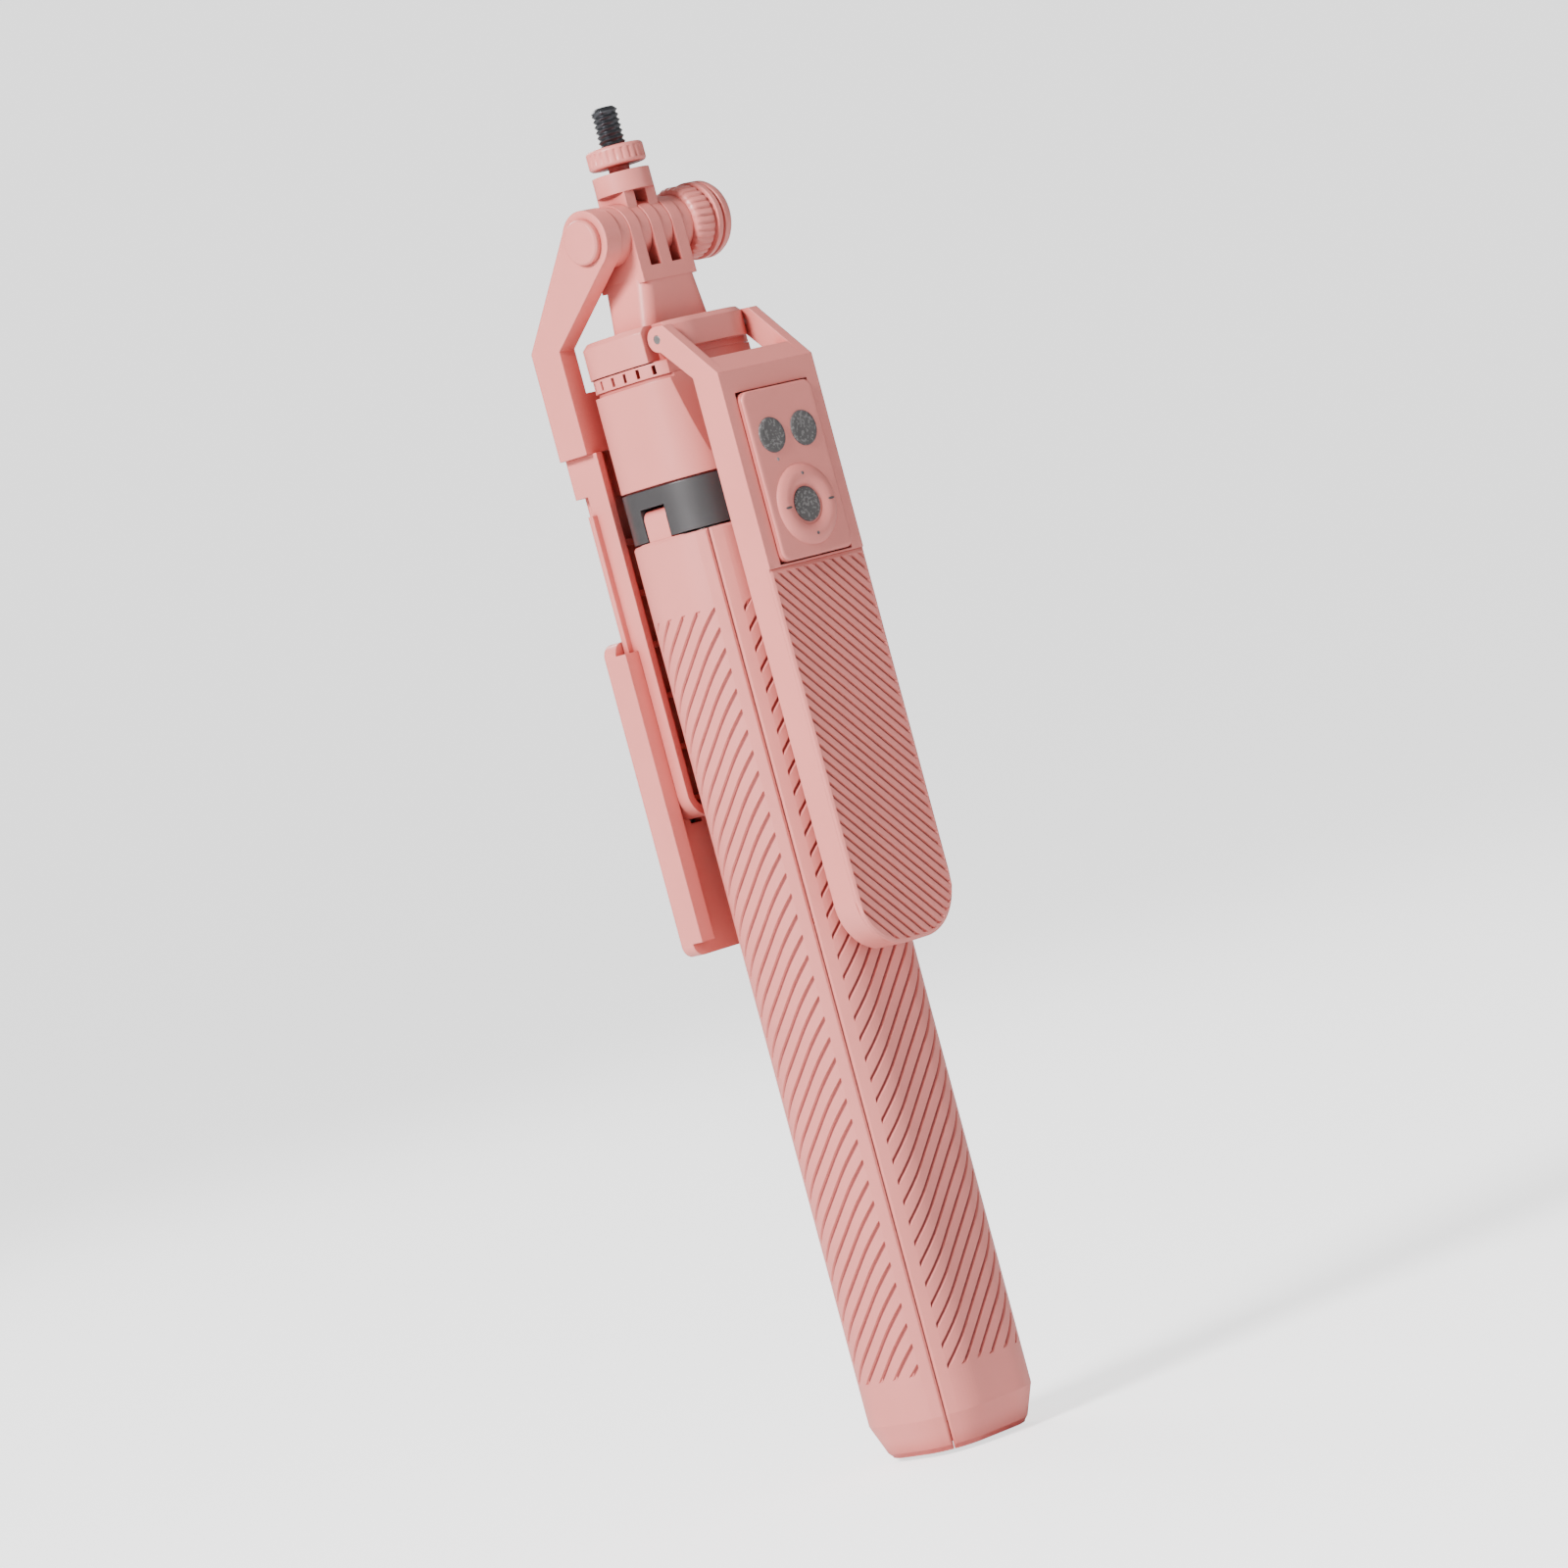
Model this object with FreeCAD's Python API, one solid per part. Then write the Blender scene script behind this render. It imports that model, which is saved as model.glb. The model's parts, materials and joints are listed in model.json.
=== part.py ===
import FreeCAD, Part
import math
import os

# Folding selfie stick with a tripod column, a flip-out handle that carries a button remote,
# a screw-mount head and a folding phone clamp. Millimetres, +Z up the stick, -Y is the front,
# origin at the middle of the base.

V = FreeCAD.Vector

# Column outline and heights
COLUMN_W = 36.6
COLUMN_D = 32.0
COLUMN_R = 12.5
LEG_WALL = 3.0
LEG_FLOOR = 3.0
FOOT_BEVEL_Z = 8.4
FOOT_BEVEL_IN = 3.2
LEG_TOP = 219.2
HUB_Z0 = 219.5
HUB_Z1 = 231.1
SLEEVE_Z1 = 255.5
RING_Z1 = 258.9
COLLAR_Z1 = 267.3
SEAM = 0.24

# Leg hinges
HINGE_IN = 2.8
HINGE_Z = 224.0
KNUCKLE_R = 2.6
KNUCKLE_W = 7.4
NOTCH_W = 8.0
SWING_R = 5.4
LEG_PIN_R = 0.8
RUN = 0.04

# Telescopic tubes
TUBE_R = 9.8
TUBE_STEP = 1.2
TUBE_WALL = 0.6
TUBE_Z0 = 6.0
TUBE_Z1 = 266.9
STAGES = 5
BUSH_LENGTH = 9.0
SLIP_LENGTH = 8.0

# Head pivot
PIVOT_Z = 289.8
FIN_R = 7.25
NECK_W0 = 21.6
NECK_D0 = 13.2
NECK_W1 = 17.4
FIN_T = 3.5
PIVOT_R = 2.0
WASHER_R = 7.0
EYE_X0 = -17.0
EYE_X1 = -12.0
KNOB_X0 = 12.0
KNOB_X1 = 23.6
KNOB_R = 9.1

# Screw adapter
PLATE_Z0 = 299.1
PLATE_Z1 = 303.9
NUT_Z0 = 305.5
NUT_Z1 = 310.2
NUT_R = 6.8
STUD_R = 3.175
STUD_TOP = 319.5

# Handle arm
ARM_PIN_Y = -13.2
ARM_PIN_Z = 263.4
ARM_PIN_R = 1.0
ARM_HALF_W = 15.75
ARM_Y0 = -29.25
ARM_Y1 = -21.2
ARM_Z0 = 115.7
ARM_TOP = 256.0
FORK_X = 13.0

# Remote
REMOTE_HALF_W = 11.75
REMOTE_Z0 = 206.6
REMOTE_Z1 = 246.4
REMOTE_Y0 = -30.05
REMOTE_Y1 = -23.2
REMOTE_WALL = 1.2
BUTTON_R = 4.2
BUTTON_X = 5.3
BUTTON_Z = 235.5
PAD_Z = 218.4
PAD_R = 9.75
SHUTTER_R = 4.3
CELL_R = 10.0
CELL_T = 1.6

# Phone clamp
CLAMP_HALF_W = 15.0
CLAMP_Y0 = 16.5
CLAMP_Y1 = 22.9
CLAMP_Z0 = 155.0
CLAMP_Z1 = 243.0
CLAMP_WALL = 2.0
RIB_PITCH = 12.3
RIB_Z0 = 172.0
JAW_HALF_W = 19.4
JAW_Y0 = 23.1
JAW_Y1 = 27.0
JAW_Z0 = 123.9
JAW_Z1 = 199.1
LIP_HALF_W = 12.0
LIP_T = 2.2
LIP_LENGTH = 19.0
LIP_BARREL_R = 1.2
LIP_Y = 25.6
JAW_LIP_Z = 129.5
TOP_LIP_Z = 236.0


def box(x0, x1, y0, y1, z0, z1):
    return Part.makeBox(x1 - x0, y1 - y0, z1 - z0, V(x0, y0, z0))


def rod(axis, at, radius, length):
    """Cylinder centred on a point."""
    direction = V(*axis)
    start = V(*at) - direction * (length / 2)
    return Part.makeCylinder(radius, length, start, direction)


def fuse(*shapes):
    result = shapes[0]
    for shape in shapes[1:]:
        result = result.fuse(shape)
    return result.removeSplitter()


def rounded_wire(width, depth, radius, z):
    """Closed rounded rectangle centred on the stick's axis."""
    x, y = width / 2, depth / 2
    k = radius * (1 - math.sqrt(0.5))
    edges = []
    corners = [(x, y, 1, 1), (-x, y, -1, 1), (-x, -y, -1, -1), (x, -y, 1, -1)]
    points = []
    for cx, cy, sx, sy in corners:
        along_x = V(cx - sx * radius, cy, z)
        along_y = V(cx, cy - sy * radius, z)
        middle = V(cx - sx * k, cy - sy * k, z)
        first, last = (along_y, along_x) if sx * sy > 0 else (along_x, along_y)
        points.append((first, middle, last))
    for index, (first, middle, last) in enumerate(points):
        edges.append(Part.Arc(first, middle, last).toShape())
        following = points[(index + 1) % 4][0]
        if last.distanceToPoint(following) > 1e-6:
            edges.append(Part.makeLine(last, following))
    return Part.Wire(edges)


def rounded_block(inset, z0, z1):
    """Column outline pulled in by inset, from z0 to z1."""
    wire = rounded_wire(COLUMN_W - 2 * inset, COLUMN_D - 2 * inset, COLUMN_R - inset, z0)
    return Part.Face(wire).extrude(V(0, 0, z1 - z0))


def outline_prism(points, axis, start, end):
    """Prism of a polygon: (y, z) points along X, or (x, y) points along Z, or (x, z) along Y."""
    if axis == "X":
        corners = [V(start, a, b) for a, b in points]
        run = V(end - start, 0, 0)
    elif axis == "Y":
        corners = [V(a, start, b) for a, b in points]
        run = V(0, end - start, 0)
    else:
        corners = [V(a, b, start) for a, b in points]
        run = V(0, 0, end - start)
    return Part.Face(Part.makePolygon(corners + corners[:1])).extrude(run)


def plate_y(half_w, z0, z1, y0, y1, radius):
    """Upright plate, X across and Z up, with rounded corners in its front view."""
    wire = rounded_wire(2 * half_w, z1 - z0, radius, 0)
    plate = Part.Face(wire).extrude(V(0, 0, y1 - y0))
    plate.rotate(V(0, 0, 0), V(1, 0, 0), 90)
    plate.translate(V(0, y1, (z0 + z1) / 2))
    return plate


def save(name, shape):
    shape.exportStep("parts/%s.step" % name)
    print(name, len(shape.Solids), shape.isValid(), round(shape.Volume, 1))


# ---------------------------------------------------------------- legs and hub

def side_frame(name):
    """Outward direction, hinge direction and hinge distance of one side of the column."""
    frames = {
        "left": (V(-1, 0, 0), V(0, 1, 0), COLUMN_W / 2 - HINGE_IN),
        "right": (V(1, 0, 0), V(0, 1, 0), COLUMN_W / 2 - HINGE_IN),
        "front": (V(0, -1, 0), V(1, 0, 0), COLUMN_D / 2 - HINGE_IN),
        "back": (V(0, 1, 0), V(1, 0, 0), COLUMN_D / 2 - HINGE_IN),
    }
    return frames[name]


def hinge_block(name, out0, out1, half_w, z0, z1):
    """Box at a leg hinge: out0 and out1 are measured outward from the hinge axis."""
    outward, along, distance = side_frame(name)
    a = outward * (distance + out0) - along * half_w
    b = outward * (distance + out1) + along * half_w
    return box(min(a.x, b.x), max(a.x, b.x), min(a.y, b.y), max(a.y, b.y), HINGE_Z + z0, HINGE_Z + z1)


def hinge_rod(name, radius, length):
    outward, along, distance = side_frame(name)
    centre = outward * distance + V(0, 0, HINGE_Z)
    return rod(tuple(along), tuple(centre), radius, length)


def leg_blank():
    """Column shell with its bevelled foot and closed floor, before it is split into legs."""
    foot = Part.makeLoft([
        rounded_wire(COLUMN_W - 2 * FOOT_BEVEL_IN, COLUMN_D - 2 * FOOT_BEVEL_IN,
                     COLUMN_R - FOOT_BEVEL_IN, 0),
        rounded_wire(COLUMN_W, COLUMN_D, COLUMN_R, FOOT_BEVEL_Z)], True, True)
    outer = foot.fuse(rounded_block(0, FOOT_BEVEL_Z, LEG_TOP))
    cavity = rounded_block(LEG_WALL + FOOT_BEVEL_IN * 0.6, LEG_FLOOR, FOOT_BEVEL_Z)
    cavity = cavity.fuse(rounded_block(LEG_WALL, FOOT_BEVEL_Z, LEG_TOP + 1))
    return outer.cut(cavity)


def leg(name, blank):
    """One quarter of the column, from corner seam to corner seam, with its hinge knuckle."""
    reach = 12.0
    cx, cy = COLUMN_W / 2 - COLUMN_R, COLUMN_D / 2 - COLUMN_R
    ridge = cx - cy
    far_x, far_y = cx + COLUMN_R + reach, cy + COLUMN_R + reach
    if name in ("left", "right"):
        s = -1 if name == "left" else 1
        corners = [(s * ridge, 0), (s * far_x, -far_y), (s * far_x, far_y)]
    else:
        s = -1 if name == "front" else 1
        corners = [(-ridge, 0), (-far_x, s * far_y), (far_x, s * far_y), (ridge, 0)]
    quarter = blank.common(outline_prism(corners, "Z", -1, LEG_TOP + 2))
    for sx in (-1, 1):
        for sy in (-1, 1):
            slab = box(-1, 60, -SEAM / 2, SEAM / 2, -1, LEG_TOP + 2)
            slab.rotate(V(0, 0, 0), V(0, 0, 1), math.degrees(math.atan2(sy, sx)))
            slab.translate(V(sx * ridge, 0, 0))
            quarter = quarter.cut(slab)
    quarter = quarter.cut(box(-ridge - 1, ridge + 1, -SEAM / 2, SEAM / 2, -1, LEG_FLOOR + 1))
    quarter = quarter.cut(hinge_rod(name, SWING_R, 80))
    knuckle = hinge_rod(name, KNUCKLE_R, KNUCKLE_W)
    web = hinge_block(name, -0.2, KNUCKLE_R, KNUCKLE_W / 2, -8.5, 0)
    result = fuse(quarter, web, knuckle)
    return result.cut(hinge_rod(name, LEG_PIN_R + RUN, KNUCKLE_W + 2))


def bore(z0, z1):
    return Part.makeCylinder(TUBE_R, z1 - z0, V(0, 0, z0))


def hub():
    body = rounded_block(0, HUB_Z0, HUB_Z1).cut(bore(HUB_Z0 - 1, HUB_Z1 + 1))
    for name in ("left", "right", "front", "back"):
        body = body.cut(hinge_block(name, -3.0, 5.0, NOTCH_W / 2, HUB_Z0 - HINGE_Z - 1, 3.0))
        body = body.cut(hinge_rod(name, LEG_PIN_R, NOTCH_W + 5.0))
    return body


def leg_pins():
    pins = [hinge_rod(name, LEG_PIN_R, NOTCH_W + 5.0) for name in ("left", "right", "front", "back")]
    return Part.makeCompound(pins)


def front_relief():
    """Space in front of the sleeve and collar for the handle's fork."""
    y = -COLUMN_D / 2
    return outline_prism([(y - 2, 236), (y + 0.8, 236), (y + 3.4, SLEEVE_Z1 + 0.01),
                          (y - 2, SLEEVE_Z1 + 0.01)], "X", -20, 20)


def sleeve():
    body = rounded_block(0, HUB_Z1 + 0.5, SLEEVE_Z1 - 1.0)
    core = rounded_block(1.0, HUB_Z1, SLEEVE_Z1)
    return fuse(body, core).cut(front_relief()).cut(bore(HUB_Z1 - 1, SLEEVE_Z1 + 1))


def slotted_ring():
    """Thin ring of vertical slots between the sleeve and the collar."""
    body = fuse(rounded_block(0.4, SLEEVE_Z1, RING_Z1 - 0.3), rounded_block(1.4, SLEEVE_Z1, RING_Z1))
    body = body.cut(box(-20, 20, -20, -COLUMN_D / 2 + 3.4, SLEEVE_Z1 - 1, RING_Z1 + 1))
    count = 28
    for index in range(count):
        slot = box(13.5, 30, -0.45, 0.45, SLEEVE_Z1 + 0.5, RING_Z1 - 0.8)
        slot.rotate(V(0, 0, 0), V(0, 0, 1), 360.0 * (index + 0.5) / count)
        middle = 360.0 * (index + 0.5) / count
        if not 215 < middle < 325:
            body = body.cut(slot)
    return body.cut(bore(SLEEVE_Z1 - 1, RING_Z1 + 1))


def collar():
    blank = rounded_block(0, RING_Z1, COLLAR_Z1 - 1.2)
    top = Part.makeLoft([rounded_wire(COLUMN_W, COLUMN_D, COLUMN_R, COLLAR_Z1 - 1.2),
                         rounded_wire(COLUMN_W - 2.4, COLUMN_D - 2.4, COLUMN_R - 1.2, COLLAR_Z1)],
                        True, True)
    body = blank.fuse(top)
    for s in (-1, 1):
        x0, x1 = sorted((s * (FORK_X - 0.3), s * 25))
        body = body.cut(box(x0, x1, -25, -9.6, RING_Z1 - 1, COLLAR_Z1 + 1))
    body = body.cut(box(-20, 20, -25, -COLUMN_D / 2 + 3.4, RING_Z1 - 1, 260.4))
    body = body.cut(rod((1, 0, 0), (0, ARM_PIN_Y, ARM_PIN_Z), ARM_PIN_R, 60))
    return body.cut(bore(RING_Z1 - 1, COLLAR_Z1 + 1)).removeSplitter()


# ---------------------------------------------------------------- telescopic tubes

def tube_radius(stage):
    return TUBE_R - TUBE_STEP * stage


def ring_between(outer, inner, z0, z1):
    return Part.makeCylinder(outer, z1 - z0, V(0, 0, z0)).cut(
        Part.makeCylinder(inner, z1 - z0 + 2, V(0, 0, z0 - 1)))


def tube(stage):
    top = TUBE_Z1 if stage < STAGES else TUBE_Z1 + 11
    outer = tube_radius(stage)
    return ring_between(outer, outer - TUBE_WALL, TUBE_Z0, top)


def guide_bush(stage):
    """Bush in the mouth of a tube, which guides the next stage."""
    return ring_between(tube_radius(stage) - TUBE_WALL, tube_radius(stage + 1) + RUN,
                        TUBE_Z1 - BUSH_LENGTH, TUBE_Z1)


def slip_ring(stage):
    """Ring on the foot of a stage, which slides in the tube around it."""
    return ring_between(tube_radius(stage - 1) - TUBE_WALL - RUN, tube_radius(stage),
                        TUBE_Z0, TUBE_Z0 + SLIP_LENGTH)


# ---------------------------------------------------------------- head

def neck():
    """Tapered block on the last tube with three fins around the pivot."""
    floor_z = 279.0
    base = Part.makeLoft([
        rounded_wire(NECK_W0, NECK_D0, 3.0, COLLAR_Z1 + 0.1),
        rounded_wire(NECK_W1, 2 * FIN_R, 3.0, floor_z)], True, True)
    upper = box(-NECK_W1 / 2, NECK_W1 / 2, -FIN_R, FIN_R, floor_z - 1.5, PIVOT_Z)
    crown = rod((1, 0, 0), (0, 0, PIVOT_Z), FIN_R, NECK_W1)
    body = fuse(base, upper, crown)
    gap = (NECK_W1 - 3 * FIN_T) / 2
    for s in (-1, 1):
        x = s * (FIN_T / 2 + gap / 2)
        body = body.cut(box(x - gap / 2, x + gap / 2, -10, 10, floor_z + 2.0, PIVOT_Z + 20))
    body = body.cut(rod((1, 0, 0), (0, 0, PIVOT_Z), PIVOT_R, 60))
    return body.cut(Part.makeCylinder(tube_radius(STAGES), TUBE_Z1 + 11 - 260, V(0, 0, 260)))


def pivot_screw():
    shank = Part.makeCylinder(PIVOT_R, KNOB_X1 - 3 - EYE_X0, V(EYE_X0, 0, PIVOT_Z), V(1, 0, 0))
    head = Part.makeCylinder(4.2, 1.4, V(EYE_X0 - 1.4, 0, PIVOT_Z), V(1, 0, 0))
    hexagon = Part.makePolygon([
        V(EYE_X0 - 1.4, 2.0 * math.cos(math.radians(60 * i)), PIVOT_Z + 2.0 * math.sin(math.radians(60 * i)))
        for i in range(7)])
    socket = Part.Face(hexagon).extrude(V(1.0, 0, 0))
    return fuse(shank, head).cut(socket)


def washer(x0, x1, radius):
    return rod((1, 0, 0), ((x0 + x1) / 2, 0, PIVOT_Z), radius, x1 - x0).cut(
        rod((1, 0, 0), ((x0 + x1) / 2, 0, PIVOT_Z), PIVOT_R, 20))


def knob():
    """Clamping knob with a ribbed rim and a boxy cap."""
    body = rod((1, 0, 0), ((KNOB_X0 + KNOB_X1) / 2, 0, PIVOT_Z), KNOB_R, KNOB_X1 - KNOB_X0)
    body = body.makeFillet(1.6, [e for e in body.Edges if e.Curve.TypeId == "Part::GeomCircle"])
    for x in (KNOB_X1 - 3.4, KNOB_X1 - 5.2):
        groove = rod((1, 0, 0), (x, 0, PIVOT_Z), KNOB_R + 1, 0.6).cut(
            rod((1, 0, 0), (x, 0, PIVOT_Z), KNOB_R - 0.5, 2))
        body = body.cut(groove)
    return body.cut(rod((1, 0, 0), ((KNOB_X0 + KNOB_X1) / 2 - 3, 0, PIVOT_Z), PIVOT_R + RUN,
                        KNOB_X1 - KNOB_X0))


def adapter():
    """Tilting base with two fingers between the neck's fins."""
    gap = (NECK_W1 - 3 * FIN_T) / 2
    plate = Part.makeCylinder(NUT_R, PLATE_Z1 - PLATE_Z0, V(0, 0, PLATE_Z0))
    body = fuse(plate, Part.makeCylinder(2.5, NUT_Z0 - PLATE_Z1, V(0, 0, PLATE_Z1)))
    for s in (-1, 1):
        x = s * (FIN_T / 2 + gap / 2)
        half = gap / 2 - 0.15
        finger = rod((1, 0, 0), (x, 0, PIVOT_Z), FIN_R - 0.25, 2 * half)
        stem = box(x - half, x + half, -4.6, 4.6, PIVOT_Z, PLATE_Z0 + 1)
        body = fuse(body, finger, stem)
    body = body.cut(rod((1, 0, 0), (0, 0, PIVOT_Z), PIVOT_R + RUN, 60))
    return body.cut(Part.makeCylinder(1.6, 30, V(0, 0, PLATE_Z0 + 1)))


def stud():
    thread = Part.makeCylinder(STUD_R, STUD_TOP - NUT_Z1 - 0.5, V(0, 0, NUT_Z1))
    tip = Part.makeCone(STUD_R, STUD_R - 0.5, 0.5, V(0, 0, STUD_TOP - 0.5))
    shank = Part.makeCylinder(1.6 - RUN, NUT_Z1 - PLATE_Z0 - 1.2, V(0, 0, PLATE_Z0 + 1.2))
    return fuse(thread, tip, shank)


def thumb_nut():
    body = Part.makeCylinder(NUT_R, NUT_Z1 - NUT_Z0 - RUN, V(0, 0, NUT_Z0 + RUN))
    body = body.makeFillet(0.8, [e for e in body.Edges if e.Curve.TypeId == "Part::GeomCircle"])
    return body.cut(Part.makeCylinder(1.6 - RUN, 20, V(0, 0, NUT_Z0 - 2)))


# ---------------------------------------------------------------- phone clamp

def clamp_link():
    """Side arm from the head pivot, cranked back over the collar, with a cross block and tongue."""
    eye = rod((1, 0, 0), ((EYE_X0 + EYE_X1) / 2, 0, PIVOT_Z), FIN_R, EYE_X1 - EYE_X0)
    back = CLAMP_Y1 + 3.9
    crank = outline_prism([(-4.5, 284.2), (4.6, 295.4), (back, 269.0), (back, CLAMP_Z1),
                           (17.5, CLAMP_Z1), (17.5, 267.6)], "X", EYE_X0, EYE_X1)
    cross = box(EYE_X0, CLAMP_HALF_W, 17.5, back, CLAMP_Z1, 257.0)
    tongue = box(-8, 8, 18.9, CLAMP_Y1 - CLAMP_WALL, CLAMP_Z1 - 11, CLAMP_Z1 + 1)
    body = fuse(eye, crank, cross, tongue)
    body = body.cut(rod((1, 0, 0), (0, 0, PIVOT_Z), PIVOT_R + RUN, 60))
    for x in (-4, 4):
        body = body.cut(rod((0, 1, 0), (x, 20, CLAMP_Z1 - 5), 0.9, 3))
    return body


def clamp_frame():
    """Ribbed channel, open to the column, with slide flanges and the upper lip's hinge lugs."""
    shell = plate_y(CLAMP_HALF_W, CLAMP_Z0, CLAMP_Z1, CLAMP_Y0, CLAMP_Y1, 6.0)
    shell = fuse(shell, box(-CLAMP_HALF_W, CLAMP_HALF_W, CLAMP_Y0, CLAMP_Y1, CLAMP_Z1 - 20, CLAMP_Z1))
    hollow = plate_y(CLAMP_HALF_W - CLAMP_WALL, CLAMP_Z0 + CLAMP_WALL, CLAMP_Z1 + 6,
                     CLAMP_Y0 - 1, CLAMP_Y1 - CLAMP_WALL, 4.0)
    body = shell.cut(hollow)
    for index in range(-1, 5):
        z = RIB_Z0 + index * RIB_PITCH
        body = body.fuse(box(-13.2, 13.2, 18.4, 21.2, z - 0.7, z + 0.7))
    for s in (-1, 1):
        x0, x1 = sorted((s * 14.9, s * 16.6))
        body = body.fuse(box(x0, x1, 21.4, CLAMP_Y1, CLAMP_Z0 + 6, CLAMP_Z1 - 14))
        x0, x1 = sorted((s * 6.6, s * 9.4))
        body = body.fuse(box(x0, x1, CLAMP_Y1 - 0.1, 26.2, 190.4, 193.0))
    head = box(-CLAMP_HALF_W, CLAMP_HALF_W, CLAMP_Y1, JAW_Y1, TOP_LIP_Z - 2.4, CLAMP_Z1)
    head = head.cut(box(-LIP_HALF_W - 0.3, LIP_HALF_W + 0.3, 24.2, JAW_Y1 + 1,
                        TOP_LIP_Z - 3, TOP_LIP_Z + 2.0))
    body = fuse(body, head).cut(rod((1, 0, 0), (0, LIP_Y, TOP_LIP_Z), 0.6, 28))
    for x in (-4, 4):
        body = body.cut(rod((0, 1, 0), (x, 21.2, CLAMP_Z1 - 5), 0.9, 3))
    return body


def clamp_screws():
    screws = []
    for x in (-4, 4):
        shank = Part.makeCylinder(0.9, 3.6, V(x, 18.9, CLAMP_Z1 - 5), V(0, 1, 0))
        head = Part.makeCylinder(1.7, 1.0, V(x, 17.9, CLAMP_Z1 - 5), V(0, 1, 0))
        screws.append(fuse(shank, head))
    return Part.makeCompound(screws)


def jaw():
    """Sliding plate that wraps the frame's flanges, with a recess for the flip-out lip."""
    plate = plate_y(JAW_HALF_W, JAW_Z0, JAW_Z1, JAW_Y0, JAW_Y1, 3.0)
    cheeks = []
    for s in (-1, 1):
        x0, x1 = sorted((s * 15.1, s * JAW_HALF_W))
        cheek = box(x0, x1, 19.9, JAW_Y0 + 0.1, JAW_Z0 + 3, JAW_Z1 - 3)
        x0, x1 = sorted((s * 15.0, s * 16.9))
        cheeks.append(cheek.cut(box(x0, x1, 21.1, JAW_Y0, JAW_Z0, JAW_Z1)))
    body = fuse(plate, *cheeks)
    body = body.cut(box(-LIP_HALF_W - 0.3, LIP_HALF_W + 0.3, 24.2, JAW_Y1 + 1,
                        JAW_LIP_Z - 2.0, JAW_LIP_Z + LIP_LENGTH + 0.6))
    for x in (-8, 8):
        body = body.cut(box(x - 1.9, x + 1.9, JAW_Y0 - 1, 26.5, 154.0, JAW_Z1 + 1))
    return body.cut(rod((1, 0, 0), (0, LIP_Y, JAW_LIP_Z), 0.6, 28))


def lip(z, direction):
    """Flap that lies flat in its recess and turns out to hold the edge of a phone."""
    z0, z1 = sorted((z, z + direction * LIP_LENGTH))
    plate = box(-LIP_HALF_W, LIP_HALF_W, JAW_Y1 - LIP_T, JAW_Y1, z0, z1)
    barrel = rod((1, 0, 0), (0, LIP_Y, z), LIP_BARREL_R, 2 * LIP_HALF_W)
    return fuse(plate, barrel).cut(rod((1, 0, 0), (0, LIP_Y, z), 0.6 + RUN, 40))


def lip_pad(z, direction):
    """Rubber pad on the gripping side of a flap."""
    z0, z1 = sorted((z + direction * 4, z + direction * (LIP_LENGTH - 1.5)))
    return box(-LIP_HALF_W + 1.5, LIP_HALF_W - 1.5, JAW_Y1 - LIP_T - 0.4, JAW_Y1 - LIP_T, z0, z1)


def lip_pin(z):
    return rod((1, 0, 0), (0, LIP_Y, z), 0.6, 28)


def jaw_springs():
    """Two extension springs between the frame's lugs and the foot of the jaw's grooves."""
    springs = []
    z0, z1 = 154.3, 190.1
    for x in (-8, 8):
        helix = Part.makeHelix(2.4, z1 - z0, 1.2)
        helix.translate(V(x, 24.8, z0))
        start = V(x + 1.2, 24.8, z0)
        wire_end = Part.Wire(Part.makeCircle(0.3, start, V(0, 1, 0.32)))
        springs.append(Part.Wire(helix.Edges).makePipeShell([wire_end], True, True))
    return Part.makeCompound(springs)


# ---------------------------------------------------------------- flip-out handle

def arm_frame():
    """Handle front shell with the fork that hangs on the collar and the remote's pocket."""
    body = plate_y(ARM_HALF_W, ARM_Z0, 225.0, ARM_Y0 + 1.2, ARM_Y1, 12.5)
    body = fuse(body, box(-ARM_HALF_W, ARM_HALF_W, ARM_Y0 + 1.2, ARM_Y1, 190, 206),
                box(-ARM_HALF_W, ARM_HALF_W, ARM_Y0, ARM_Y1, 205.8, 252.0))
    cross = outline_prism([(ARM_Y0, 252), (-25.4, ARM_TOP), (ARM_Y1, ARM_TOP), (ARM_Y1, 252)],
                          "X", -ARM_HALF_W, ARM_HALF_W)
    body = body.fuse(cross)
    for s in (-1, 1):
        x0, x1 = sorted((s * FORK_X, s * ARM_HALF_W))
        cheek = outline_prism([(ARM_PIN_Y, 266.4), (-16.0, 266.2), (ARM_Y0, 252), (ARM_Y0, 244),
                               (ARM_Y1, 244), (ARM_Y1, 252.5), (ARM_PIN_Y, 260.4)], "X", x0, x1)
        boss = rod((1, 0, 0), ((x0 + x1) / 2, ARM_PIN_Y, ARM_PIN_Z), 3.0, x1 - x0)
        body = body.fuse(cheek).fuse(boss)
    body = body.cut(box(-12, 12, ARM_Y0 - 1, REMOTE_Y1 + 0.1, REMOTE_Z0 - 0.3, REMOTE_Z1 + 0.3))
    cavity = plate_y(ARM_HALF_W - 2.4, ARM_Z0 + 2.4, 204.0, ARM_Y0 + 3.0, ARM_Y1 + 1, 10.0)
    bosses = [rod((0, 1, 0), (x, -24.7, z), 2.4, 3.6) for x in (-9, 9) for z in (128, 196)]
    body = body.cut(cavity)
    for boss in bosses:
        body = body.fuse(boss)
    for x in (-9, 9):
        for z in (128, 196):
            body = body.cut(rod((0, 1, 0), (x, -24.0, z), 0.9, 4.4))
    body = body.cut(rod((1, 0, 0), (0, ARM_PIN_Y, ARM_PIN_Z), ARM_PIN_R + RUN, 60))
    return body.removeSplitter()


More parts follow.
